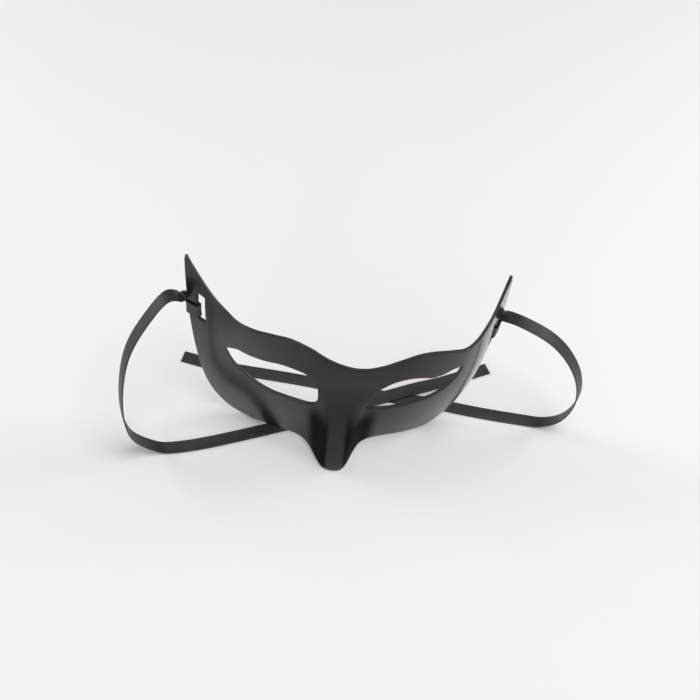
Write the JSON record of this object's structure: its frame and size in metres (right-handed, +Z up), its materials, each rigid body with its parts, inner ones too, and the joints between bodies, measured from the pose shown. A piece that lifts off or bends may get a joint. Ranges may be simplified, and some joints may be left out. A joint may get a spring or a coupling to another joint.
{
  "type": "masquerade mask",
  "caption": "Black moulded plastic half mask with upswept wing tips, almond eye openings and a beaked nose, tied on with flat black ribbons knotted at its side slots.",
  "frame": {"origin": "centre of the bottom of the shell's box, on the surface that the mask lies on", "axes": "+X to the viewer's right across the face, +Y from the front of the mask to its hollow back, +Z up; millimetres in the source, metres in the packed part"},
  "size_m": [0.2331, 0.0778, 0.1146],
  "materials": {
    "shell_black": "satin black, lightly moulded surface",
    "ribbon_black": "black flat woven ribbon with a soft sheen"
  },
  "bodies": {
    "root": {"mask_shell": "shell_black", "left_ribbon_knot": "ribbon_black", "left_ribbon": "ribbon_black", "right_ribbon_knot": "ribbon_black", "right_ribbon": "ribbon_black"}
  },
  "joints": []
}
